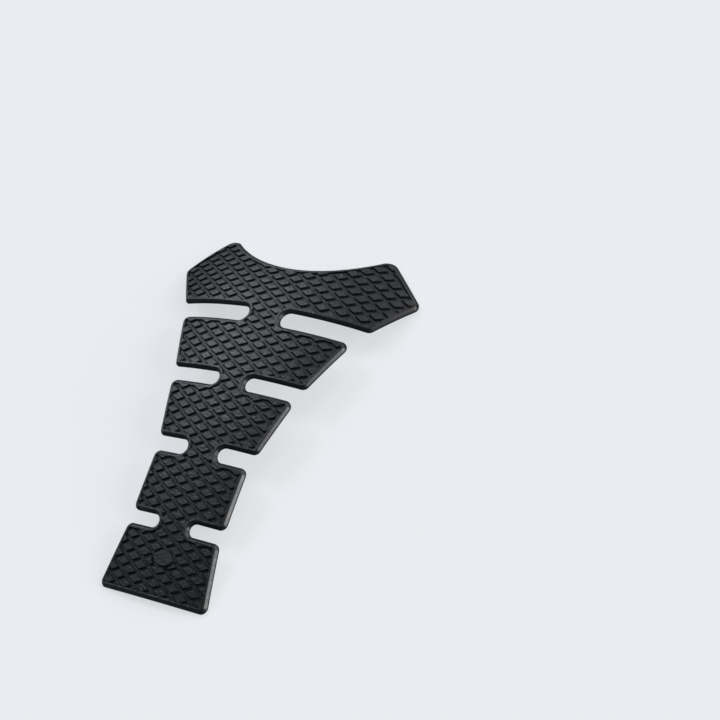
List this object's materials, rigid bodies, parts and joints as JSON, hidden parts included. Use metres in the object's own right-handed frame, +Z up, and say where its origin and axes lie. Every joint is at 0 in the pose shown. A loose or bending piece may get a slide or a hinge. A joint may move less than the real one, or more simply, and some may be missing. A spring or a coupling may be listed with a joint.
{
  "type": "motorcycle tank pad",
  "caption": "Moulded rubber tank pad: linked trapezoid segments under a swept wing, slots between them, bevelled edge and raised diamond tread, curved to lie over a fuel tank.",
  "frame": {"origin": "bottom centre of the pad's bounding box, where the pad lies bevel side up on its lower corners and its wing", "axes": "+X to the pad's right seen from above, +Y along the spine towards the wing, +Z up, away from the tank"},
  "size_m": [0.1702, 0.2292, 0.0218],
  "materials": {
    "pad": "satin, fine grain"
  },
  "bodies": {
    "root": {"tank_pad": "pad"}
  },
  "joints": []
}
